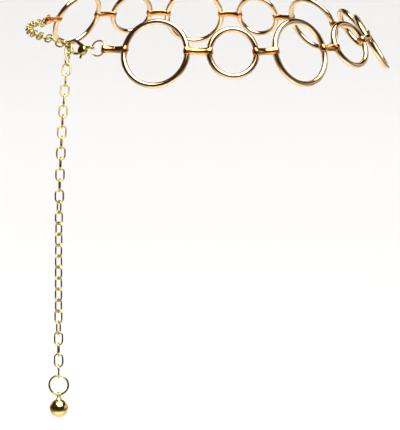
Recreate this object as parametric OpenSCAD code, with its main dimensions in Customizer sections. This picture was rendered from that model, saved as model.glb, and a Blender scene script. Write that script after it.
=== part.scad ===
// Waist chain of large and small wire rings joined by folded metal straps.
// A cable chain closes it: a claw clasp holds one of its links, and the rest hangs down to a ball.
// Millimetres. The belt keeps the form that it has when worn: +Z is up, the wearer faces -Y,
// and the origin is the middle of the waist, level with the loop.

/* [Rings] */
// Outer diameter of a large ring
large_od = 46.8; // [42:0.1:50]
// Outer diameter of a small ring
small_od = 35; // [31:0.1:38]
// Diameter of the round wire that the rings are made of
ring_wire = 4; // [3.4:0.1:4.4]
// Number of large rings, with a small one between each two
large_count = 6; // [5:1:7]

/* [Straps] */
// Distance between the two ring wires that a strap joins, middle to middle
strap_reach = 14.3; // [13:0.1:18]
// Width of a strap at its folded ends
strap_w = 5.2; // [4.6:0.1:6]
// Width of a strap at its pinched middle
strap_mid_w = 4.5; // [3.6:0.1:5]
// Thickness of a strap at its pinched middle
strap_mid_t = 2.6; // [2:0.1:3.4]
// Thickness of the metal round a ring wire
strap_wall = 0.6; // [0.5:0.1:0.9]
// Play between a strap and the ring wire in it
strap_play = 0.15; // [0.1:0.05:0.25]
// How far along its wire a jump ring may lie askew in a strap
jump_askew = 0.6; // [0.3:0.05:0.9]

/* [Chain] */
// Outer length of a chain link
link_l = 9.5; // [8.6:0.1:10.4]
// Outer width of a chain link
link_w = 6.4; // [5.8:0.1:7]
// Diameter of the wire of a chain link
link_wire = 1.1; // [0.9:0.05:1.2]
// Play between two links that hang on each other
link_play = 0.14; // [0.12:0.01:0.2]
// Number of links on the side, the one in the clasp included
side_links = 18; // [15:1:25]
// Number of links in the hanging tail
tail_links = 31; // [20:1:40]

/* [Jump rings] */
// Outer diameter of the jump ring at each end of the ring belt
jump_od = 11.6; // [11:0.1:13]
// Diameter of the wire of those jump rings
jump_wire = 1.1; // [0.9:0.05:1.3]
// Outer diameter of the ring at the foot of the tail
tail_ring_od = 13.8; // [12:0.1:16]
// Diameter of the wire of the ring at the foot of the tail
tail_ring_wire = 1.4; // [1.1:0.1:1.6]

/* [Ball] */
// Diameter of the ball
ball_d = 12.4; // [10:0.1:15]
// Outer diameter of the eye on top of the ball
ball_eye_od = 4.8; // [4.6:0.1:5.6]
// Diameter of the wire of that eye
ball_eye_wire = 1; // [0.8:0.05:1.1]
// Diameter of the collar between the eye and the ball
collar_d = 3.6; // [3:0.1:4.5]
// Height of the collar above the ball
collar_h = 0.9; // [0.5:0.1:1.5]
// How far the collar rises inside the eye
collar_rise = 0.5; // [0.2:0.1:0.6]

/* [Clasp] */
// Distance from the hook's wire to the jump ring's wire
clasp_reach = 21; // [20.5:0.1:24]
// Radius of the hook's bend, to the middle of its wire
hook_r = 4.2; // [4:0.1:4.6]
// Diameter of the hook's wire
hook_wire = 2; // [1.8:0.1:2.2]
// How much wider than its wire the bead is that ends the hook, and the one that ends the lever
tip_bead = 0.2; // [0.1:0.05:0.4]
// Diameter of the claw's back where it meets the housing
back_d = 3.2; // [2.8:0.1:3.6]
// Diameter of the lever's housing
housing_d = 6.6; // [6.2:0.1:7]
// Thickness of the lever's housing
housing_t = 4.4; // [4:0.1:5]
// Radius of the housing's rounded rim
housing_rim = 1.4; // [0.8:0.1:1.6]
// Distance from the middle of the hook's bend to the lever's pin, along the clasp
pin_reach = 9.2; // [8.8:0.1:10]
// Distance of the pin below the line from hook to eye
pin_drop = 2.2; // [2:0.1:2.4]
// Diameter of the lever's pin
pin_d = 1; // [0.8:0.05:1.2]
// How far the pin's ends sit below the faces of the housing
pin_sink = 0.5; // [0.3:0.05:0.6]
// Play of the lever's foot round its pin
pin_play = 0.06; // [0.03:0.01:0.09]
// Play of the lever's foot between the cheeks of the housing
lever_play = 0.15; // [0.1:0.05:0.2]
// Thickness of the lever's flat foot
lever_foot_t = 1.8; // [1.4:0.1:2]
// Diameter of the lever's arm
lever_d = 1.8; // [1.5:0.1:2]
// How far the lever's arm bows below the line from its pin to its tip
lever_bow = 3; // [2.4:0.1:3.4]
// Diameter of the lever's flat foot round its pin
lever_foot_d = 3.6; // [3.2:0.1:4]
// Most that the lever opens
lever_swing = 20; // [10:1:22]
// Reach of the thumb nub from the lever's pin
nub_reach = 5.2; // [4.6:0.1:5.6]
// Diameter of the thumb nub
nub_d = 1.6; // [1.3:0.1:1.8]
// Outer diameter of the clasp's eye
eye_od = 4.8; // [4.6:0.1:5.4]
// Diameter of the wire of the clasp's eye
eye_wire = 1.2; // [1:0.1:1.3]
// Diameter of the claw's neck where it meets the eye
neck_d = 1.8; // [1.6:0.1:2]

/* [Lie of the belt] */
// Depth of the waist loop as a share of its width
waist_ratio = 0.969; // [0.8:0.002:1]
// Plan angle of the clasp's hook from the front middle, less than 0 on the wearer's right
clasp_angle = -45.7; // [-60:0.1:-30]
// Rise of the loop toward the wearer's right
loop_roll = 1.2; // [0:0.1:4]
// How far the weight of the tail pulls the clasp down
clasp_dip = 2.6; // [0:0.1:5]
// Lean of the rings at the front, their tops toward the waist
lean_front = 18.9; // [5:0.1:25]
// Lean of the rings at the sides
lean_side = 34.7; // [20:0.1:40]
// Lean of the tail at its top, forward from upright
tail_lean_top = 29.5; // [10:0.5:32]
// Lean of the tail at its foot
tail_lean_foot = 7; // [0:0.5:20]
// How far the tail drifts outward on its way down
tail_drift = 4.5; // [0:0.1:10]

/* [Hidden] */
$fn = 48;

// Rings and belt order
ring_count = 2 * large_count - 1;
strap_count = ring_count + 1;
function is_large(i) = i % 2 == 0;
function ring_r(i) = ((is_large(i) ? large_od : small_od) - ring_wire) / 2;
jump_r = (jump_od - jump_wire) / 2;

// Lie of the first rings, from the clasp on, and of every other large and small ring
SAG = 0;
OWN_LEAN = 1;
OUT_A = 2;
UP_A = 3;
OUT_B = 4;
UP_B = 5;
first_rings = [
    [5.9, 2.3, -0.8, -1, 0.7, 0.5],
    [3.1, 0.1, 0.6, 0.4, 2, 0.3],
    [6, -3.8, 0.2, 0.4, -3.1, -0.5],
    [1.8, 1.7, -3.1, -1.5, 1.5, 1.3],
    [15.7, -1.8, 1.5, 1.1, 0.5, -0.1]
];
large_lie = [7, 0, 0, 0, 0, 0];
small_lie = [1, 0, 0, 0, 0, 0];
function lie(i) = i < len(first_rings) ? first_rings[i] : is_large(i) ? large_lie : small_lie;
// Offsets out and up of the clasp's eye, and of the far side of its jump ring
eye_lie = [-0.4, -0.6];
clasp_ring_lie = [-0.5, -1.6];

// Turn of the tail's links about the tail, by share of the tail, besides the quarter turns between them
tail_turns = [[0, 0], [0.1, -45], [0.45, -50], [0.55, -85], [0.8, -90], [0.93, -125], [1, -132]];
// Most that the side's links turn about the chain, besides those quarter turns
side_turn = 24;
// Share of the tail's drop over which it drifts outward
drift_share = 0.5;
// Plan angles over which the clasp's dip fades out, along the clasp and along the side chain
dip_reach_clasp = 16;
dip_reach_side = 9;

// Vectors and frames, each frame being [origin, x axis, y axis, z axis]
UP = [0, 0, 1];
function unit(v) = v / norm(v);
function across(v, axis) = unit(v - axis * (v * axis));
function middle(a, b) = (a + b) / 2;
module at(f) {
    multmatrix([
        [f[1].x, f[2].x, f[3].x, f[0].x],
        [f[1].y, f[2].y, f[3].y, f[0].y],
        [f[1].z, f[2].z, f[3].z, f[0].z],
        [0, 0, 0, 1]
    ]) children();
}

// Height by which an arc of radius r bows over half a chord h
function bow(r, h) = r - sqrt(r * r - h * h);

// The strap's eyes, and the share of their half diagonal at which their corners are rounded off
strap_bore = ring_wire + 2 * strap_play;
strap_eye_od = strap_bore + 2 * strap_wall;
corner_share = 0.92;
// How far a jump ring's wire sits off the middle of the strap's eye
jump_slack = (strap_bore - jump_wire) / 2 - link_play
    - bow(jump_r - jump_wire / 2, strap_w / 2 + jump_askew);

// How far a link's end wire reaches past the place where it meets its neighbour
link_lap = (link_wire + link_play) / 2;
jump_lap = (link_wire + jump_wire) / 2 + link_play;
// The link that the hook holds lies aside, which makes room for the tail beside the hook's wire
held_aside = 0.55;
held_room = link_w / 2 - link_wire - hook_wire / 2 - link_play;
hook_lap = (link_wire + hook_wire) / 2 + link_play + bow(held_room, held_aside);
tail_ring_lap = (link_wire + tail_ring_wire) / 2 + link_play;
function link_span(lap_a, lap_b) = link_l - link_wire - lap_a - lap_b;
function side_lap_a(k) = k == 0 ? jump_lap : link_lap;
function side_lap_b(k) = k == side_links - 1 ? hook_lap : link_lap;

// The loop: a plan oval, its places given by plan angle, with steps along it of known length.
// It dips in straight runs to the hook, where the tail hangs.
function loop_point(angle, half_w, out, up) =
    let (normal = unit([waist_ratio * sin(angle), -cos(angle), 0]),
         past = angle_near(angle) - clasp_angle,
         dip = clasp_dip * max(0, 1 - abs(past) / (past > 0 ? dip_reach_clasp : dip_reach_side)))
    [half_w * sin(angle), -half_w * waist_ratio * cos(angle), 0]
    + normal * out
    + UP * (up - half_w * sin(angle) * tan(loop_roll) - dip);
function angle_near(angle) = angle > clasp_angle + 180 ? angle - 360 : angle;

// Each step holds its length and the offsets out and up of the place where it ends
function ring_step(i) = [2 * ring_r(i) * cos(lie(i)[SAG]), lie(i)[OUT_B], lie(i)[UP_B]];
function strap_step(i) = [
    strap_reach + (i == 0 || i == ring_count ? jump_slack : 0),
    i < ring_count ? lie(i)[OUT_A] : 0,
    i < ring_count ? lie(i)[UP_A] : 0
];
steps = concat(
    [concat(clasp_reach, eye_lie), concat(2 * jump_r, clasp_ring_lie)],
    [for (i = [0 : ring_count - 1]) each [strap_step(i), ring_step(i)]],
    [strap_step(ring_count), [2 * jump_r, 0, 0]],
    [for (k = [0 : side_links - 1]) [link_span(side_lap_a(k), side_lap_b(k)), 0, 0]]
);

// Plan angle that lies one step on, found by correcting a first guess
function step_on(from, angle, guess, step, half_w, tries) =
    tries == 0 ? guess
    : let (miss = step[0] - norm(loop_point(guess, half_w, step[1], step[2]) - from),
           turn = miss / half_w * 180 / PI)
      step_on(from, angle, guess + turn, step, half_w, tries - 1);
function walk(half_w, angles, points, i) =
    i == len(steps) ? [angles, points]
    : let (angle = angles[i],
           guess = angle + steps[i][0] / half_w * 180 / PI,
           next = step_on(points[i], angle, guess, steps[i], half_w, 7))
      walk(half_w, concat(angles, [next]),
           concat(points, [loop_point(next, half_w, steps[i][1], steps[i][2])]), i + 1);
function loop_at(half_w) = walk(half_w, [clasp_angle], [loop_point(clasp_angle, half_w, 0, 0)], 0);
function left_open(half_w) = let (w = loop_at(half_w)) w[0][len(steps)] - clasp_angle - 360;

// Half width of the loop at which the last step ends where the first one starts
function closed_width(a, open_a, b, open_b, tries) =
    tries == 0 || abs(open_b) < 0.000001 ? b
    : let (c = b - open_b * (b - a) / (open_b - open_a))
      closed_width(b, open_b, c, left_open(c), tries - 1);
function sum(list, i = 0) = i == len(list) ? 0 : list[i][0] + sum(list, i + 1);
first_width = sum(steps) / PI / (1 + waist_ratio);
half_width = closed_width(first_width, left_open(first_width), first_width * 1.01,
                          left_open(first_width * 1.01), 8);
places = loop_at(half_width)[1];

// Where each piece starts among the places
CLASP = 0;
CLASP_RING = 1;
FIRST_STRAP = 2;
END_RING = FIRST_STRAP + 2 * ring_count + 1;
FIRST_LINK = END_RING + 1;
function strap_place(i) = FIRST_STRAP + 2 * i;
function ring_place(i) = FIRST_STRAP + 1 + 2 * i;

// Frame of a flat piece hung between two places: x along the belt, y up in its plane, z outward
function lean_at(outward) = lean_front + (lean_side - lean_front) * pow(outward.x, 2);
function hung_frame(a, b, own_lean) =
    let (x = unit(b - a), outward = unit(cross(x, UP)), rise = cross(outward, x),
         lean = lean_at(outward) + own_lean)
    [middle(a, b), x, rise * cos(lean) - outward * sin(lean), outward * cos(lean) + rise * sin(lean)];
function lowered(f, d) = [f[0] - f[2] * d, f[1], f[2], f[3]];
function ring_frame(i) =
    let (p = ring_place(i))
    lowered(hung_frame(places[p], places[p + 1], lie(i)[OWN_LEAN]), ring_r(i) * sin(lie(i)[SAG]));
clasp_ring_frame = hung_frame(places[CLASP_RING], places[CLASP_RING + 1], 0);
end_ring_frame = hung_frame(places[END_RING], places[END_RING + 1], 0);

// Direction of a ring's wire, upward, at a place on it
function rise_of(v) = v.z > 0 ? v : -v;
function ring_rise(f, place) = rise_of(cross(f[3], unit(place - f[0])));

// Frame of a strap: origin midway, x from eye to eye, y up its width, z outward
function strap_frame(i) =
    let (a = places[strap_place(i)], b = places[strap_place(i) + 1], x = unit(b - a),
         rise_a = i == 0 ? clasp_ring_frame[2] : ring_rise(ring_frame(i - 1), a),
         rise_b = i == ring_count ? end_ring_frame[2] : ring_rise(ring_frame(i), b),
         y = across(i == 0 ? rise_a : i == ring_count ? rise_b : rise_a + rise_b, x),
         slack_a = i == 0 ? jump_slack : 0,
         slack_b = i == ring_count ? jump_slack : 0)
    [middle(a + x * slack_a, b - x * slack_b), x, y, cross(x, y)];

// Frame of a side link: x along the chain, y along its width
function link_aside(k) = k < side_links - 1 ? [0, 0, 0] : clasp_frame[3] * held_aside;
function side_frame(k) =
    let (f = hung_frame(places[FIRST_LINK + k], places[FIRST_LINK + k + 1] + link_aside(k), 0),
         even_turn = side_links % 2 == 0 ? 90 / (side_links - 1) : 0,
         turn = 90 + k * (90 + even_turn) + side_turn * sin(180 * k / (side_links - 1)),
         y = f[2] * cos(turn) + f[3] * sin(turn),
         shift = (side_lap_b(k) - side_lap_a(k)) / 2)
    [f[0] + f[1] * shift, f[1], y, cross(f[1], y)];

// The clasp: origin at the hook's wire, x toward its eye, y up, z outward
clasp_frame = let (f = hung_frame(places[CLASP], places[CLASP + 1], 0)) [places[CLASP], f[1], f[2], f[3]];
function polar(r, angle) = r * [cos(angle), sin(angle)];
hook_middle = [hook_r, 0];
pin = [hook_r + pin_reach, -pin_drop];
// Where the back and the neck end inside the housing, off the pin
back_seat = [1.1, 1.5];
neck_seat = [0.8, 1.5];
// The back runs from there along the tangent to the hook's bend
back_run = pin + back_seat - hook_middle;
back_angle = atan2(back_run.y, back_run.x) + acos(hook_r / norm(back_run));
// It starts this many degrees inside the bend, and this much thicker than the bend's wire
back_lap = 3;
back_step = 0.1;
hook_tip_angle = 228;
eye_r = (eye_od - eye_wire) / 2;
eye_x = clasp_reach - (eye_r - eye_wire / 2 - jump_wire / 2 - link_play);
// The lever's tip rests inside the hook's, a little further round the bend
tip_gap = 0.2;
tip_turn = 12;
hook_bead_d = hook_wire + tip_bead;
lever_bead_d = lever_d + tip_bead;
lever_tip = hook_middle
    + polar(hook_r - (hook_bead_d + lever_bead_d) / 2 - tip_gap, hook_tip_angle + tip_turn);
nub_angle = 268;
// The slot is cut from where the open arm passes to past the nub
slot_t = lever_foot_t + 2 * lever_play;
arm_edge_angle = 192;
slot_from = arm_edge_angle - lever_swing;
slot_through = nub_angle + asin((nub_d + 2 * lever_play) / lever_foot_d);

// The tail: it hangs from the link that the hook holds, in front of the hook, with some more play
held_link = side_frame(side_links - 1);
held_end = held_link[0] + held_link[1] * (link_l - link_wire) / 2;
hang_play = 0.14;
tail_tuck = 0.25;
tail_shift = (hook_wire + link_wire) / 2 + link_play - held_aside - tail_tuck;
tail_hold = held_end + clasp_frame[3] * tail_shift
    - clasp_frame[1] * bow((link_w - link_wire) / 2, tail_shift);
// Each link is turned a quarter from the last; this much more over all sets the last edge-on to its ring
last_turn = tail_links % 2 == 0 ? 90 : 0;
tail_drop = tail_links * (link_l - 2 * link_wire - link_play);
function tail_point(drop) =
    let (drift = min(1, drop / tail_drop / drift_share),
         slope = tan(tail_lean_top) - (tan(tail_lean_top) - tan(tail_lean_foot)) * drop / tail_drop / 2)
    tail_hold + [-tail_drift * (1 - pow(1 - drift, 2)), -slope * drop, -drop];
function tail_lap_b(k) = k == tail_links - 1 ? tail_ring_lap : link_lap;
function drop_on(from, drop, length, tries) =
    tries == 0 ? drop
    : drop_on(from, drop + length - norm(tail_point(drop) - from), length, tries - 1);
function tail_walk(drops, k) =
    k == tail_links ? drops
    : let (length = link_span(link_lap, tail_lap_b(k)),
           next = drop_on(tail_point(drops[k]), drops[k] + length, length, 12))
      tail_walk(concat(drops, [next]), k + 1);
tail_places = [for (d = tail_walk([-link_lap - hang_play], 0)) tail_point(d)];
function tail_frame(k) =
    let (a = tail_places[k], b = tail_places[k + 1], x = unit(b - a),
         e = across(clasp_frame[1], x), g = cross(x, e),
         turn = 90 * k + lookup(k / (tail_links - 1), tail_turns) + last_turn * k / (tail_links - 1),
         y = e * cos(turn) + g * sin(turn),
         shift = (tail_lap_b(k) - link_lap) / 2)
    [middle(a, b) + x * shift, x, y, cross(x, y)];

// The foot of the tail: x down, y across, z toward the viewer
tail_foot = tail_places[tail_links];
foot_x = unit(tail_foot - tail_places[tail_links - 1]);
foot_y = across([1, 0, 0], foot_x);
tail_ring_r = (tail_ring_od - tail_ring_wire) / 2;
tail_ring_frame = [tail_foot + foot_x * tail_ring_r, foot_x, foot_y, cross(foot_x, foot_y)];
ball_eye_r = (ball_eye_od - ball_eye_wire) / 2;
ball_eye_top = 2 * tail_ring_r - (tail_ring_wire + ball_eye_wire) / 2 - link_play;
ball_eye_turn = 60;

// A full ring of round wire in the xy plane
module wire_ring(r, wire) {
    rotate_extrude($fn = 96) translate([r, 0]) circle(d = wire);
}

// Part of such a ring, from one angle through another
module wire_arc(r, wire, from, through) {
    rotate([0, 0, from]) rotate_extrude(angle = through - from, $fn = 96) translate([r, 0]) circle(d = wire);
}

// A chain link with its length along x and its width along y
module link() {
    end_r = (link_w - link_wire) / 2;
    side_l = link_l - link_w;
    for (s = [-1, 1]) {
        translate([s * side_l / 2, 0, 0]) wire_arc(end_r, link_wire, s > 0 ? -90 : 90, s > 0 ? 90 : 270);
        translate([-side_l / 2, s * end_r, 0]) rotate([0, 90, 0]) cylinder(d = link_wire, h = side_l);
    }
}

// Outline of a strap seen along the fold: two round eyes with a web that narrows to the middle
module strap_side() {
    eye_x = strap_reach / 2;
    web_r = (pow(eye_x, 2) + pow(strap_mid_t / 2, 2) - pow(strap_eye_od / 2, 2))
        / (strap_eye_od - strap_mid_t);
    for (s = [-1, 1]) translate([s * eye_x, 0]) circle(d = strap_eye_od);
    difference() {
        square([strap_reach, strap_eye_od], center = true);
        for (s = [-1, 1]) translate([0, s * (web_r + strap_mid_t / 2)]) circle(r = web_r, $fn = 180);
    }
}

// Rounded bar about x that is widest at the eyes and waisted in the middle
module strap_barrel() {
    reach = strap_reach / 2 + strap_eye_od / 2;
    end_r = norm([strap_w, strap_eye_od]) / 2 * corner_share;
    mid_r = strap_mid_w / 2;
    waist_r = (pow(reach, 2) + pow(end_r - mid_r, 2)) / (end_r - mid_r) / 2;
    rotate([0, 90, 0]) rotate_extrude($fn = 72) difference() {
        translate([0, -reach]) square([end_r, 2 * reach]);
        translate([mid_r + waist_r, 0]) circle(r = waist_r, $fn = 240);
    }
}

module strap_solid() {
    intersection() {
        rotate([-90, 0, 0]) linear_extrude(strap_w, center = true) strap_side();
        strap_barrel();
    }
}

module strap(i) {
    color("goldenrod") difference() {
        at(strap_frame(i)) strap_solid();
        strap_end(i, -1);
        strap_end(i, 1);
    }
}

// The bore at one end of a strap: it follows a ring's wire, or is straight round a jump ring
module strap_end(i, side) {
    ring = side < 0 ? i - 1 : i;
    if (ring < 0 || ring == ring_count)
        at(strap_frame(i)) translate([side * strap_reach / 2, 0, 0]) rotate([90, 0, 0])
            cylinder(d = strap_bore, h = 2 * strap_w, center = true);
    else
        at(ring_frame(ring)) wire_ring(ring_r(ring), strap_bore);
}

module large_ring(i) {
    color("gold") at(ring_frame(2 * i)) wire_ring(ring_r(2 * i), ring_wire);
}

module small_ring(i) {
    color("gold") at(ring_frame(2 * i + 1)) wire_ring(ring_r(2 * i + 1), ring_wire);
}

module clasp_ring() {
    color("gold") at(clasp_ring_frame) wire_ring(jump_r, jump_wire);
}

// A straight round bar from one point in the xy plane to another
module bar(a, b, d_a, d_b) {
    run = b - a;
    translate(a) rotate([0, 0, atan2(run.y, run.x)]) rotate([0, 90, 0])
        cylinder(d1 = d_a, d2 = d_b, h = norm(run));
}

// The claw: hook, back and housing with its pin, and an eye turned across them for the jump ring
module clasp_body() {
    color("gold") at(clasp_frame) {
        difference() {
            union() {
                translate(hook_middle) wire_arc(hook_r, hook_wire, back_angle, hook_tip_angle);
                translate(hook_middle + polar(hook_r, hook_tip_angle)) sphere(d = hook_bead_d);
                bar(hook_middle + polar(hook_r, back_angle + back_lap), pin + back_seat,
                    hook_wire + back_step, back_d);
                housing();
                bar(pin + neck_seat, [eye_x - eye_r, 0], back_d, neck_d);
                translate([eye_x, 0, 0]) rotate([90, 0, 0]) wire_ring(eye_r, eye_wire);
            }
            slot();
        }
        translate(pin) cylinder(d = pin_d, h = housing_t - 2 * pin_sink, center = true);
    }
}

// The housing is a thick disc with rounded rims
module housing() {
    edge_x = housing_d / 2 - housing_rim;
    edge_y = housing_t / 2 - housing_rim;
    translate(pin) rotate_extrude($fn = 72) {
        translate([0, -housing_t / 2]) square([edge_x, housing_t]);
        translate([0, -edge_y]) square([housing_d / 2, 2 * edge_y]);
        for (s = [-1, 1]) translate([edge_x, s * edge_y]) circle(r = housing_rim);
    }
}

// The slot holds the lever's foot and lets its arm and nub swing
module slot() {
    corners = [for (share = [0 : 4]) polar(housing_d, slot_from + (slot_through - slot_from) * share / 4)];
    translate(pin) linear_extrude(slot_t, center = true) {
        circle(d = lever_foot_d + 2 * lever_play);
        polygon(concat([[0, 0]], corners));
    }
}

// The lever: a flat foot on the pin, an arm that bows down and ends inside the hook, and a nub
module clasp_lever() {
    half = norm(lever_tip - pin) / 2;
    arm_r = (half * half + lever_bow * lever_bow) / lever_bow / 2;
    spread = asin(half / arm_r);
    run = pin - lever_tip;
    nub_end = pin + polar(nub_reach, nub_angle);
    color("gold") at(clasp_frame) difference() {
        union() {
            translate(pin) cylinder(d = lever_foot_d, h = lever_foot_t, center = true);
            translate(middle(pin, lever_tip)) rotate([0, 0, atan2(run.y, run.x)])
                translate([0, arm_r - lever_bow, 0])
                    wire_arc(arm_r, lever_d, -90 - spread, spread - 90);
            translate(lever_tip) sphere(d = lever_bead_d);
            bar(pin, nub_end, nub_d, nub_d);
            translate(nub_end) sphere(d = nub_d);
        }
        translate(pin) cylinder(d = pin_d + 2 * pin_play, h = 2 * lever_foot_t, center = true);
    }
}

module end_ring() {
    color("gold") at(end_ring_frame) wire_ring(jump_r, jump_wire);
}

module side_chain() {
    color("gold") for (k = [0 : side_links - 1]) at(side_frame(k)) link();
}

module tail_chain() {
    color("gold") for (k = [0 : tail_links - 1]) at(tail_frame(k)) link();
}

module tail_ring() {
    color("gold") at(tail_ring_frame) wire_ring(tail_ring_r, tail_ring_wire);
}

module ball_drop() {
    color("goldenrod") at(tail_ring_frame) rotate([ball_eye_turn, 0, 0])
        translate([ball_eye_top - tail_ring_r, 0, 0]) {
            translate([ball_eye_r, 0, 0]) wire_ring(ball_eye_r, ball_eye_wire);
            collar_top = ball_eye_od - ball_eye_wire - collar_rise;
            ball_x = collar_top + collar_h + ball_d / 2;
            translate([collar_top, 0, 0]) rotate([0, 90, 0])
                cylinder(d = collar_d, h = collar_h + collar_d / 2);
            translate([ball_x, 0, 0]) sphere(d = ball_d, $fn = 96);
        }
}

for (i = [0 : large_count - 1]) large_ring(i);
for (i = [0 : large_count - 2]) small_ring(i);
for (i = [0 : strap_count - 1]) strap(i);
clasp_ring();
clasp_body();
clasp_lever();
side_chain();
end_ring();
tail_chain();
tail_ring();
ball_drop();
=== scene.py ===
# %% [markdown]
# # A chain belt of rings, straps and links
#
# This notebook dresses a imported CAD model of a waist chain. The model gives the place and size of
# every piece. Here each piece gets a smooth surface, a metal finish and studio light.
# All lengths are in metres.

import math

import bmesh
import bpy
import numpy as np
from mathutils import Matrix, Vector


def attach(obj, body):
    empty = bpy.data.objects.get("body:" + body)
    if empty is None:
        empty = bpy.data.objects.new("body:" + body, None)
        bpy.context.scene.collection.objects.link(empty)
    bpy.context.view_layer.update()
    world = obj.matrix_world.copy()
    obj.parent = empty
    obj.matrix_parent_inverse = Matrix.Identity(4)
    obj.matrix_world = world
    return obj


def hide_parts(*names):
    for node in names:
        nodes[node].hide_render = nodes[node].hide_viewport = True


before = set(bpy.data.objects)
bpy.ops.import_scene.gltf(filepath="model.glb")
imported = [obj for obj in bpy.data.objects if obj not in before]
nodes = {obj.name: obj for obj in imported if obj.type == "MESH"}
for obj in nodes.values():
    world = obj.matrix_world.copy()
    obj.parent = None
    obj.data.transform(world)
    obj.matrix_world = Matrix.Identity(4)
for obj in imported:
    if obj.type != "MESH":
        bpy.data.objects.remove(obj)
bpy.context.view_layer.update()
MM = 0.001

# %% [markdown]
# ## The camera
#
# The photograph was taken from straight ahead, a little above the belt and with a long lens, so
# the far rings look only a little smaller than the near ones. The camera stands more than a metre
# away and looks slightly down. It comes first, because everything else is judged through it.


# %% The camera
def camera_at(place, pitch_down, lens):
    """A camera that looks along +Y, tilted down by an angle in degrees, its lens in millimetres
    for a sensor 36 millimetres wide."""
    data = bpy.data.cameras.new("camera")
    data.lens = lens
    data.sensor_width = 36
    data.clip_start = 0.05
    data.clip_end = 60
    made = bpy.data.objects.new("camera", data)
    made.location = place
    made.rotation_euler = (math.radians(90 - pitch_down), 0, 0)
    bpy.context.scene.collection.objects.link(made)
    bpy.context.scene.camera = made
    return made


camera = camera_at(place=(0.0010, -1.1426, 0.1342), pitch_down=13.32, lens=133.0)
print("camera", tuple(round(v, 4) for v in camera.location))

# %% [markdown]
# ## Where each piece lies
#
# A ring, a link or a strap is the same shape wherever it hangs, so one surface is worked out once
# and carried to each place. The place comes from the CAD solid itself: the middle of its skin, and
# the directions in which it is longest and thinnest. A chain is one node with many loose links, so
# its triangles are first sorted into links.


# %% Reading the solids
def corners_of(node):
    """The triangles of a node, as an array of three corners each."""
    mesh = nodes[node].data
    mesh.calc_loop_triangles()
    places = np.empty(len(mesh.vertices) * 3, np.float32)
    mesh.vertices.foreach_get("co", places)
    ids = np.empty(len(mesh.loop_triangles) * 3, np.int32)
    mesh.loop_triangles.foreach_get("vertices", ids)
    return places.reshape(-1, 3).astype(float)[ids.reshape(-1, 3)]


def lie_of(corners):
    """Middle and axes of a closed skin: the mean of its triangles by area, and the directions of
    its second moments by area, the longest first."""
    a, b, c = corners.transpose(1, 0, 2)
    area = np.linalg.norm(np.cross(b - a, c - a), axis=1)
    middle = (corners.mean(1) * area[:, None]).sum(0) / area.sum()
    off = corners - middle
    whole = off.sum(1)
    moments = np.einsum("ni,nj,n->ij", whole, whole, area)
    moments = moments + np.einsum("nki,nkj,n->ij", off, off, area)
    axes = np.linalg.eigh(moments)[1].T[::-1]
    return middle, axes


middle, axes = lie_of(corners_of("large_ring_1"))
print("large_ring_1 lies at", (middle / MM).round(1), "mm, its axis along", axes[2].round(2))


# %% Sorting a chain into its links
def loose_solids(corners):
    """Sorts triangles into the solids that they close: each corner passes the least number that
    it meets on to its neighbours, until no number changes."""
    _, ids = np.unique(np.round(corners.reshape(-1, 3), 6), axis=0, return_inverse=True)
    ids = ids.reshape(-1, 3)
    label = np.arange(ids.max() + 1)
    while True:
        lower = label.copy()
        np.minimum.at(lower, ids.ravel(), np.repeat(label[ids].min(1), 3))
        lower = lower[lower]
        if (lower == label).all():
            break
        label = lower
    own = label[ids[:, 0]]
    return [corners[own == k] for k in np.unique(own)]


# %% Carrying a shape to its place
def frame_of(middle, x, y):
    """A place as four rows: the middle, and x, y and z directions at right angles."""
    x = x / np.linalg.norm(x)
    y = y - x * (x @ y)
    y = y / np.linalg.norm(y)
    return np.array([middle, x, y, np.cross(x, y)])


def carried(points, place):
    """Points of a shape in its own axes, carried to a place."""
    return place[0] + points @ place[1:]


# %% The places of rings and straps
def ring_place(node):
    """Place, radius and wire radius of a ring: its thinnest direction is its axis, its thickness
    along it is the wire, and its widest reach is the radius with half the wire."""
    corners = corners_of(node)
    middle, axes = lie_of(corners)
    axis = axes[2] * (-1 if axes[2][1] > 0 else 1)
    off = corners.reshape(-1, 3) - middle
    along = off @ axis
    wire_r = np.abs(along).max()
    reach = np.linalg.norm(off - np.outer(along, axis), axis=1).max()
    up = np.array([0, 0, 1.0]) - axis * axis[2]
    return frame_of(middle, np.cross(up, axis), up), reach - wire_r, wire_r


large_rings = [f"large_ring_{i}" for i in range(1, 7)]
small_rings = [f"small_ring_{i}" for i in range(1, 6)]
jump_rings = ["clasp_ring", "end_ring", "tail_ring"]
straps = [f"strap_{i}" for i in range(1, 13)]
belt_rings = [n for pair in zip(large_rings, small_rings + [None]) for n in pair if n]
ring_places = {n: ring_place(n) for n in belt_rings + jump_rings}
for name in ("large_ring_1", "small_ring_1", "clasp_ring", "tail_ring"):
    _, radius, wire_r = ring_places[name]
    print(name, "radius", round(radius / MM, 2), "mm, wire", round(2 * wire_r / MM, 2), "mm")

# %% [markdown]
# ## Surfaces
#
# Every new piece is a grid of points: one parameter runs along the piece and the other round it.
# A ring closes in both directions. A strip closes only round its section: at its ends a whole row
# of points falls together in one, and those are merged.


# %% Grids of points
def grid_faces(rows, columns, close_rows):
    """Corner numbers of the four-sided faces of a grid, wrapped round where it closes."""
    i = np.arange(rows if close_rows else rows - 1)[:, None]
    j = np.arange(columns)[None, :]
    i2, j2 = (i + 1) % rows, (j + 1) % columns
    corners = [i * columns + j, i2 * columns + j, i2 * columns + j2, i * columns + j2]
    return np.stack(corners, -1).reshape(-1, 4)


def skin(name, grids, close_rows=True):
    """A smooth mesh from one or more grids of points, each rows by columns by three."""
    places, faces, start = [], [], 0
    for grid in grids:
        rows, columns = grid.shape[:2]
        places.append(grid.reshape(-1, 3))
        faces.append(grid_faces(rows, columns, close_rows) + start)
        start += rows * columns
    return piece(name, np.concatenate(places), np.concatenate(faces))


print("a closed grid of 4 by 3 points has", len(grid_faces(4, 3, True)), "faces")


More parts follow.
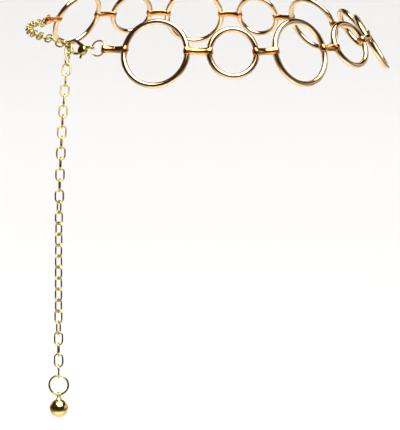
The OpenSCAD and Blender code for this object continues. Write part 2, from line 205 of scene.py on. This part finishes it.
# %% From points to a piece
def piece(name, places, faces):
    """An object at the origin with these corners and faces, its normals outward."""
    mesh = bpy.data.meshes.new(name)
    mesh.from_pydata(places.tolist(), [], faces.tolist())
    mesh.validate()
    made = bpy.data.objects.new(name, mesh)
    bpy.context.scene.collection.objects.link(made)
    mend(made)
    return made


def mend(made):
    """Merges corners that fall together and turns all faces outward."""
    work = bmesh.new()
    work.from_mesh(made.data)
    bmesh.ops.remove_doubles(work, verts=work.verts, dist=1e-7)
    bmesh.ops.recalc_face_normals(work, faces=work.faces)
    work.to_mesh(made.data)
    work.free()
    made.data.polygons.foreach_set("use_smooth", np.ones(len(made.data.polygons), bool))
    made.data.update()


# %% Round wire
def circle(count):
    """Angles round a full circle, without the last that would repeat the first."""
    return np.arange(count) * 2 * np.pi / count


def ring_grid(radius, wire_r, around, section):
    """A wire bent to a ring: out from the middle by the radius plus the wire's radius times the
    cosine of the second angle, turned by the first; up by the wire's radius times its sine."""
    turn, side = np.meshgrid(circle(around), circle(section), indexing="ij")
    out = radius + wire_r * np.cos(side)
    return np.stack([out * np.cos(turn), out * np.sin(turn), wire_r * np.sin(side)], -1)


# %% [markdown]
# ## Metal finishes
#
# The belt is cast and bent metal, polished and then plated in a gold tone. Such a surface is a
# mirror that is never quite flat: the polish leaves faint waves, and wear leaves fine dull
# scratches and a browner film where fingers don't rub. The colour itself is that of the metal, so
# it tints the reflections. One colour and one roughness would look like plastic. Numbers that vary
# over the surface come from nodes instead, written here as plain sums.


# %% A small language for shader nodes
class Number:
    """A number that a node gives out. Sums, differences and products of it add Math nodes."""

    def __init__(self, finish, socket):
        self.finish = finish
        self.socket = socket

    def math(self, operation, first, second):
        """Adds a Math node with its two inputs in this order."""
        return self.finish.node("ShaderNodeMath", {"operation": operation}, {0: first, 1: second})

    def __add__(self, other):
        return self.math("ADD", self, other)

    def __sub__(self, other):
        return self.math("SUBTRACT", self, other)

    def __rsub__(self, other):
        return self.math("SUBTRACT", other, self)

    def __mul__(self, other):
        return self.math("MULTIPLY", self, other)

    __radd__ = __add__
    __rmul__ = __mul__


# %% The nodes of a finish
class Finish:
    """The nodes of a material, or of the world, which has the same kind of tree."""

    def __init__(self, owner):
        self.owner = owner
        self.owner.use_nodes = True
        self.tree = self.owner.node_tree
        self.tree.nodes.clear()

    def node(self, kind, settings=None, values=None, out=0):
        """Adds a node: its settings first, then its sockets' values or links, by name or number."""
        made = self.tree.nodes.new(kind)
        for key, value in (settings or {}).items():
            if key == "stops":
                self.set_stops(made.color_ramp, value)
            else:
                setattr(made, key, value)
        for key, value in (values or {}).items():
            if isinstance(value, Number):
                self.tree.links.new(value.socket, made.inputs[key])
            else:
                made.inputs[key].default_value = value
        return Number(self, made.outputs[out]) if made.outputs else None

    @staticmethod
    def set_stops(ramp, stops):
        """Sets the stops of a colour ramp, each a place and a colour."""
        while len(ramp.elements) < len(stops):
            ramp.elements.new(1.0)
        for element, (place, colour) in zip(ramp.elements, stops):
            element.position = place
            element.color = (*colour, 1.0)

    def rise(self, factor, low, high):
        """A ramp from nothing at one value to all at another."""
        stops = [(low, (0, 0, 0)), (high, (1, 1, 1))]
        return self.node("ShaderNodeValToRGB", {"stops": stops}, {0: factor})

    def mixed(self, factor, first, second):
        """A colour between two, by a factor."""
        colours = {0: factor, 6: (*first, 1), 7: (*second, 1)}
        return self.node("ShaderNodeMix", {"data_type": "RGBA"}, colours, out=2)


# %% Polished gold-tone plating
PATCHES_PER_METRE = 90.0
WAVES_PER_METRE = 260.0
SCRATCHES_PER_METRE = (900.0, 900.0, 5200.0)
FILM_STARTS, FILM_FULL = 0.38, 0.72
RUB_STARTS, RUB_FULL = 0.56, 0.78
FILM_DULLS = 0.05
RUB_DULLS = 0.10
RUB_DEPTH = 0.08
WAVE_DEPTH = 0.4 * MM


def polished_gold(name, clean, deep, roughness, wave, scale):
    """Plated metal: its colour runs from a clean to a deeper tone in soft patches, its polish is
    broken by faint waves, and fine scratches run across it in drawn-out noise."""
    f = Finish(bpy.data.materials.new(name))
    place = f.node("ShaderNodeTexCoord", out=3)

    def noise(where, size, detail):
        return f.node("ShaderNodeTexNoise", {}, {"Vector": where, "Scale": size, "Detail": detail})

    patches = noise(place, PATCHES_PER_METRE * scale, detail=3.0)
    stretched = f.node("ShaderNodeMapping", {}, {0: place, "Scale": SCRATCHES_PER_METRE})
    scratches = noise(stretched, 1.0, detail=2.0)
    waves = noise(place, WAVES_PER_METRE * scale, detail=1.0)
    film = f.rise(patches, FILM_STARTS, FILM_FULL)
    rub = f.rise(scratches, RUB_STARTS, RUB_FULL)
    relief = waves + rub * RUB_DEPTH
    looks = {
        "Base Color": f.mixed(film, clean, deep),
        "Metallic": 1.0,
        "Roughness": rub * RUB_DULLS + film * FILM_DULLS + roughness,
        "Normal": f.node(
            "ShaderNodeBump", {}, {"Strength": wave, "Distance": WAVE_DEPTH, "Height": relief}
        ),
    }
    metal = f.node("ShaderNodeBsdfPrincipled", {}, looks)
    f.node("ShaderNodeOutputMaterial", {}, {"Surface": metal})
    return f.owner


ring_gold = polished_gold(
    "ring_gold", clean=(0.94, 0.71, 0.44), deep=(0.84, 0.56, 0.28),
    roughness=0.08, wave=0.08, scale=1.0,
)
strap_gold = polished_gold(
    "strap_gold", clean=(0.93, 0.49, 0.17), deep=(0.80, 0.32, 0.07),
    roughness=0.10, wave=0.14, scale=1.6,
)
chain_gold = polished_gold(
    "chain_gold", clean=(0.73, 0.56, 0.18), deep=(0.44, 0.30, 0.07),
    roughness=0.09, wave=0.12, scale=1.6,
)
ball_gold = polished_gold(
    "ball_gold", clean=(0.93, 0.72, 0.34), deep=(0.84, 0.58, 0.20),
    roughness=0.05, wave=0.03, scale=0.6,
)
print("finishes", [m.name for m in (ring_gold, strap_gold, chain_gold, ball_gold)])


# %% [markdown]
# ## What a finished piece is given
#
# A piece is more than its shape. It wears a finish, it moves with one body of the model, and it
# stands for a solid that is then hidden. Only the clasp's lever has a body of its own.


# %% Handing a piece over
def wear(made, material, body, slot, *stands_for):
    """Gives a piece its finish, a body to move with and the nodes it shows. The slot is not used.
    """
    made.data.materials.clear()
    made.data.materials.append(material)
    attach(made, body)
    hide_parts(*stands_for)


# %% [markdown]
# ## The rings
#
# A real ring is a length of round wire bent to a circle, its ends soldered and the joint polished
# away. It could be a Torus primitive, but a grid worked out from two angles gives its exact size
# and an even mesh, and the same few lines serve the jump rings below.

# %% Rings of the belt
LARGE_AROUND, SMALL_AROUND, RING_SECTION = 224, 176, 40
for name in belt_rings:
    place, radius, wire_r = ring_places[name]
    around = LARGE_AROUND if name in large_rings else SMALL_AROUND
    grid = ring_grid(radius, wire_r, around, RING_SECTION)
    made = skin(name + "_polished", [carried(grid, place)])
    wear(made, ring_gold, "belt", "ring_gold", name)
print("rings", len(belt_rings), "with", len(made.data.polygons), "faces on the last")

# %% [markdown]
# ## The jump rings
#
# A jump ring is thin wire bent to a small ring, opened and closed with pliers to join two pieces.
# Its split is too fine to show, so it is the same closed grid as above, with fewer points.

# %% Jump rings
JUMP_AROUND, JUMP_SECTION = 112, 24
for name in jump_rings:
    place, radius, wire_r = ring_places[name]
    grid = ring_grid(radius, wire_r, JUMP_AROUND, JUMP_SECTION)
    made = skin(name + "_wire", [carried(grid, place)])
    wear(made, chain_gold, "belt", "chain_gold", name)
print("jump rings", len(jump_rings), "with", len(made.data.polygons), "faces on the last")

# %% [markdown]
# ## The straps
#
# A strap is a strip of metal folded round two ring wires. Its ends meet on the front, in the
# middle, where it is pressed together. So it is made here as a strip too: one path runs along its
# outer face and one along its inner face, and a rounded section is carried between them.

# %% The strap's two paths
STRAP_REACH = 14.3 * MM
STRAP_WIDE = 5.2 * MM
STRAP_WALL = 0.6 * MM
STRAP_BORE_R = 2.15 * MM
STRAP_MID_T = 2.6 * MM
STRAP_MID_R = 2.25 * MM
STRAP_END_R = 3.48 * MM
STRAP_TIP_WIDE = 3.4 * MM
SEAM = 0.1 * MM
LAP_GAP = 0.02 * MM
INNER_TURN = 0.999
BOW_RISE = 0.25


def strap_paths(web_count=26, eye_count=60):
    """Outer and inner path of the folded strip, from its seam round both eyes and back.
    Outside, a wide arc runs from the pinched middle to each eye and meets its circle without a
    kink. Inside, the two runs lie against each other up to the bore, and the turn round it stops
    just short of a full one. The third result says for each point how far it belongs to the right
    eye, or below zero to the left one: a low power of a half wave, so it rises fast."""
    eye_x = STRAP_REACH / 2
    eye_r = STRAP_BORE_R + STRAP_WALL
    half_t = STRAP_MID_T / 2
    web_r = (eye_x**2 + half_t**2 - eye_r**2) / (eye_r - half_t) / 2
    swing = math.atan2(eye_x, web_r + half_t)
    s = np.linspace(0, 1, web_count, endpoint=False)
    web_z = web_r + half_t - web_r * np.cos(swing * s)
    web_out = np.stack([web_r * np.sin(swing * s), web_z], -1)
    web_in = np.stack([(eye_x - STRAP_BORE_R) * s, np.full(web_count, LAP_GAP / 2)], -1)
    t = np.linspace(0, 1, eye_count)
    out_angle = (np.pi / 2 + swing) * (1 - 2 * t)
    in_angle = np.pi * INNER_TURN * (1 - 2 * t)
    eye_out = np.stack([eye_x + eye_r * np.cos(out_angle), eye_r * np.sin(out_angle)], -1)
    eye_in = np.stack([np.cos(in_angle), np.sin(in_angle)], -1) * STRAP_BORE_R + [eye_x, 0]
    flip = np.array([1.0, -1.0])
    right_out = np.concatenate([web_out, eye_out, (web_out * flip)[::-1]])
    right_in = np.concatenate([web_in, eye_in, (web_in * flip)[::-1]])
    left_out, left_in = right_out[::-1][1:] * [-1, 1], right_in[::-1][1:] * [-1, 1]
    on_web = np.zeros(web_count)
    in_eye = np.concatenate([on_web, np.sin(np.pi * t) ** BOW_RISE, on_web])
    sides = np.concatenate([in_eye, -in_eye[::-1][1:]])
    return np.concatenate([right_out, left_out]), np.concatenate([right_in, left_in]), sides


outer_path, inner_path, eye_share = strap_paths()
print("strap path", outer_path.shape, "ends", (outer_path[[0, -1]] / MM).round(3).tolist())

# %% [markdown]
# ## The strap's section
#
# The strip's outer edges are rounded and its outer face is crowned, more between the eyes than at
# them. A Bevel would round all edges alike. Here each point of the section has a share of the width
# and a share of the depth, so the crown, the narrowed tips and the bow of the ring's wire inside
# the eyes can each be added as a formula.

# %% The strap's section
ROUND_ACROSS, ROUND_DEEP = 0.13, 0.30


def strap_section(flat=9, corner=5, wall=5):
    """A rounded four-sided section, as shares of the half width and of the depth from the outer
    to the inner path: across the outer face, down one side, back across the inner, and up."""
    bend = np.linspace(0, np.pi / 2, corner)
    face = np.linspace(-1 + ROUND_ACROSS, 1 - ROUND_ACROSS, flat)
    q = np.concatenate([
        face,
        1 - ROUND_ACROSS + ROUND_ACROSS * np.sin(bend)[1:],
        np.ones(wall),
        face[::-1],
        -np.ones(wall),
        -(1 - ROUND_ACROSS) - ROUND_ACROSS * np.cos(bend)[:-1],
    ])
    e = np.concatenate([
        0 * face,
        ROUND_DEEP - ROUND_DEEP * np.cos(bend)[1:],
        np.linspace(ROUND_DEEP, 1, wall + 2)[1:-1],
        np.ones(flat),
        np.linspace(1, ROUND_DEEP, wall + 2)[1:-1],
        ROUND_DEEP - ROUND_DEEP * np.sin(bend)[:-1],
    ])
    return q, e


print("strap section", len(strap_section()[0]), "points")

# %% The strap's surface
WEB_CROWN = 0.85 * MM
EYE_CROWN = 0.30 * MM
WEB_ENDS, EYE_STARTS = 0.45, 0.90


def strap_grid(radius_left, radius_right):
    """The folded strip: each point lies between the two paths by its depth share, and out across
    the strip by its width share. The width follows the round bar that all straps are filed to, and
    is drawn in round the tips of the eyes. The outer face is crowned by the square of the width
    share, with a smooth step from the web's crown to the eyes'. Inside the eyes it follows the bow
    of the ring's wire."""
    q, e = strap_section()
    between = outer_path[:, None] + (inner_path - outer_path)[:, None] * e[None, :, None]
    x, z = between[..., 0], between[..., 1]

    half_reach = STRAP_REACH / 2
    tip_x = half_reach + STRAP_BORE_R + STRAP_WALL
    grow = STRAP_END_R - STRAP_MID_R
    waist_r = (tip_x**2 + grow**2) / grow / 2
    bar_r = STRAP_MID_R + waist_r - np.sqrt(waist_r**2 - np.minimum(np.abs(x), tip_x) ** 2)
    across = np.minimum(STRAP_WIDE / 2, np.sqrt(np.maximum(bar_r**2 - z**2, 0)))
    past = np.clip((np.abs(x) - half_reach) / (tip_x - half_reach), 0, 1)
    across = across - (STRAP_WIDE - STRAP_TIP_WIDE) / 2 * past**3
    y = q[None, :] * across

    side = eye_share[:, None]
    radius = np.where(side > 0, radius_right, radius_left)
    bow = radius - np.sqrt(radius**2 - y**2)
    x = x + side * bow * e[None, :]

    lower = q[None, :] ** 2 * (1 - e[None, :])
    eye_x = np.sign(x) * half_reach
    at_eye = np.clip((np.abs(x) / half_reach - WEB_ENDS) / (EYE_STARTS - WEB_ENDS), 0, 1)
    at_eye = at_eye * at_eye * (3 - 2 * at_eye)
    from_eye = np.maximum(np.hypot(x - eye_x, z), STRAP_BORE_R)
    eye_drop = EYE_CROWN * lower * at_eye
    web_drop = WEB_CROWN * lower * (1 - at_eye)
    x = x - (x - eye_x) / from_eye * eye_drop
    z = z - z / from_eye * eye_drop - np.sign(z) * web_drop
    return np.stack([x, y, z], -1)


# %% Closing a strap, and where it lies
def strap_skin(name, grid, place):
    """Closes the strip's two ends at the seam: each end row is drawn in to its own middle."""
    grid = grid.copy()
    grid[0, :, 0] += SEAM / 2
    grid[-1, :, 0] -= SEAM / 2
    first, last = (np.repeat(row.mean(0)[None, None], len(row), 1) for row in (grid[0], grid[-1]))
    whole = np.concatenate([first, grid, last])
    return skin(name, [carried(whole, place)], close_rows=False)


def strap_place(i):
    """Place of strap i, and the radii of the two rings that it holds: its long way from the solid,
    and up along their wires. The first and last strap take up from their jump ring alone."""
    middle, axes = lie_of(corners_of(straps[i]))
    held = (["clasp_ring"] + belt_rings + ["end_ring"])[i : i + 2]
    centres = [ring_places[ring][0][0] for ring in held]
    x = axes[0] if (centres[1] - centres[0]) @ axes[0] >= 0 else -axes[0]
    rises = []
    for ring, centre in zip(held, centres):
        rise = np.cross(ring_places[ring][0][3], middle - centre)
        rises.append(rise / np.linalg.norm(rise) * np.sign(rise[2]))
    if held[0] in jump_rings:
        rises[1] = rises[0]
    if held[1] in jump_rings:
        rises[0] = rises[1]
    return frame_of(middle, x, rises[0] + rises[1]), [ring_places[ring][1] for ring in held]


# %% All straps
for i, name in enumerate(straps):
    place, radii = strap_place(i)
    made = strap_skin(name + "_folded", strap_grid(*radii), place)
    wear(made, strap_gold, "belt", "ring_gold", name)
print("strap faces", len(made.data.polygons), "size", [round(v / MM, 2) for v in made.dimensions])

# %% [markdown]
# ## The chain
#
# Cable chain is made by a machine that bends each wire oval through the last and solders it. Each
# oval has two round ends and two straight sides, and stands a quarter turn to its neighbours. One
# oval is worked out and carried to the place of each link.

# %% Links
LINK_L = 9.5 * MM
LINK_W = 6.4 * MM
LINK_WIRE_R = 0.55 * MM


def link_grid(bend_count=26, side_count=5, section=20):
    """A wire oval: a path of two half circles and two straights in the plane, and round it the
    wire's radius times the cosine outward and times the sine upward."""
    end_r = LINK_W / 2 - LINK_WIRE_R
    half = (LINK_L - LINK_W) / 2
    bend = np.linspace(-np.pi / 2, np.pi / 2, bend_count)
    straight = np.linspace(1, -1, side_count + 2)[1:-1]
    path = np.concatenate([
        np.stack([half + end_r * np.cos(bend), end_r * np.sin(bend)], -1),
        np.stack([half * straight, np.full(side_count, end_r)], -1),
    ])
    out = np.concatenate([
        np.stack([np.cos(bend), np.sin(bend)], -1),
        np.stack([0 * straight, 1 + 0 * straight], -1),
    ])
    path, out = np.concatenate([path, -path]), np.concatenate([out, -out])
    side = circle(section)
    xy = path[:, None] + LINK_WIRE_R * np.cos(side)[None, :, None] * out[:, None]
    z = np.broadcast_to(LINK_WIRE_R * np.sin(side), xy.shape[:2])
    return np.concatenate([xy, z[..., None]], -1)


one_link = link_grid()
for name in ("side_chain", "tail_chain"):
    grids = []
    for corners in loose_solids(corners_of(name)):
        middle, axes = lie_of(corners)
        grids.append(carried(one_link, frame_of(middle, axes[0], axes[1])))
    made = skin(name + "_links", grids)
    wear(made, chain_gold, "belt", "chain_gold", name)
    print(name, len(grids), "links,", len(made.data.polygons), "faces")

# %% [markdown]
# ## The clasp and the ball
#
# A claw clasp is cast in one piece: hook, back, a thick round housing with a slot, and an eye. The
# lever turns in the slot on a pin. The drop at the tail's foot is a ball with a collar, turned and
# soldered to a small wire eye. They could be modelled again, but their cuts and rounded rims are
# already in the CAD solids, so their skins are taken over, merged and shaded smooth up to their
# sharp edges.


# %% Skins taken over from the solids
def taken_over(name, node, sharp_degrees=38):
    """A copy of a node's skin with its loose corners merged, smooth but for its sharp edges."""
    made = bpy.data.objects.new(name, nodes[node].data.copy())
    bpy.context.scene.collection.objects.link(made)
    mend(made)
    made.data.set_sharp_from_angle(angle=math.radians(sharp_degrees))
    return made


claw = taken_over("clasp_claw", "clasp_body")
wear(claw, chain_gold, "belt", "chain_gold", "clasp_body")
lever = taken_over("clasp_thumb_lever", "clasp_lever")
wear(lever, chain_gold, "lever", "chain_gold", "clasp_lever")
ball = taken_over("ball_and_eye", "ball_drop")
wear(ball, ball_gold, "belt", "ring_gold", "ball_drop")
print("taken over", [(made.name, len(made.data.polygons)) for made in (claw, lever, ball)])

# %% [markdown]
# ## Studio
#
# Polished metal has hardly a look of its own: it shows what stands round it, so lighting it means
# placing what it should show. A large soft window above, a little to the right, gives the white
# streaks. The room is pale low down behind, which gives the bright rims, and dark brown in front
# and overhead, which gives the thin dark lines that make a ring read as round wire. The floor is
# plain, pale and well below the belt, so that it stays out of the rings' front. One lamp with a
# grid makes its far part near white without showing in the metal. A second one, high up, keeps the
# rest of the floor from going dark. A third, close to the floor in front, gives the tan light on
# the undersides.

# %% Floor
FLOOR_Z = -1.0
FLOOR_HALF = 14.0
floor_mesh = bpy.data.meshes.new("floor")
signs = ((-1, -1), (1, -1), (1, 1), (-1, 1))
corners = [(FLOOR_HALF * x, FLOOR_HALF * y, FLOOR_Z) for x, y in signs]
floor_mesh.from_pydata(corners, [], [(0, 1, 2, 3)])
floor = bpy.data.objects.new("floor", floor_mesh)
bpy.context.scene.collection.objects.link(floor)
pale = Finish(bpy.data.materials.new("pale_floor"))
looks = {"Base Color": (0.86, 0.86, 0.86, 1), "Roughness": 0.9}
board = pale.node("ShaderNodeBsdfPrincipled", {}, looks)
pale.node("ShaderNodeOutputMaterial", {}, {"Surface": board})
floor_mesh.materials.append(pale.owner)
print("floor", 2 * FLOOR_HALF, "m wide at", FLOOR_Z, "m")


# %% Lights
def soft_light(name, place, target, size, power, spread):
    """A rectangular soft light that faces a target, its power in watts. A grid in front of it
    narrows its spread, in degrees."""
    data = bpy.data.lights.new(name, "AREA")
    data.shape = "RECTANGLE"
    data.size, data.size_y = size
    data.energy = power
    data.spread = math.radians(spread)
    made = bpy.data.objects.new(name, data)
    made.location = place
    way = Vector(target) - Vector(place)
    made.rotation_euler = way.to_track_quat("-Z", "Y").to_euler()
    bpy.context.scene.collection.objects.link(made)
    print(name, size, "m,", power, "W, spread", spread)


def floor_light(name, x, y, z, size, power, spread):
    """A soft light that faces straight down on the floor."""
    soft_light(name, (x, y, z), (x, y, FLOOR_Z), size, power, spread)


soft_light("window", (0.28, -0.68, 1.25), (0.13, -0.43, 0), size=(1.9, 1.9), power=27, spread=100)
floor_light("far_floor", 0, 7.0, 1.0, size=(4.4, 12.6), power=172, spread=30)
floor_light("all_floor", 0, 0, 4.0, size=(12.0, 12.0), power=44, spread=60)
floor_light("near_floor", 0.1, -1.15, -0.7, size=(2.4, 1.0), power=6, spread=100)


# %% The room
def room(bright, dark, toward, sideways, upward):
    """A room that is bright low down on one side and dark elsewhere: how far the direction of view
    points toward the bright side, and how far it points up, blend the two colours. The last two
    inputs give the first and last value of each blend."""
    world = bpy.data.worlds.new("room")
    bpy.context.scene.world = world
    f = Finish(world)
    way = f.node("ShaderNodeTexCoord", out=0)

    def share(direction, first, last):
        along = f.node(
            "ShaderNodeVectorMath", {"operation": "DOT_PRODUCT"}, {0: way, 1: direction}, out=1
        )
        ends = {"Value": along, "From Min": first, "From Max": last}
        return f.node("ShaderNodeMapRange", {"interpolation_type": "SMOOTHSTEP"}, ends)

    blend = share(toward, *sideways) * (1 - share((0, 0, 1), *upward))
    light = f.node("ShaderNodeBackground", {}, {"Color": f.mixed(blend, dark, bright)})
    f.node("ShaderNodeOutputWorld", {}, {"Surface": light})
    print("room", len(f.tree.nodes), "nodes")


room(
    bright=(0.80, 0.77, 0.72),
    dark=(0.040, 0.026, 0.016),
    toward=(0.35, 0.94, 0),
    sideways=(0.02, 0.30),
    upward=(0.2, 0.5),
)
bpy.context.scene.view_settings.view_transform = "Standard"
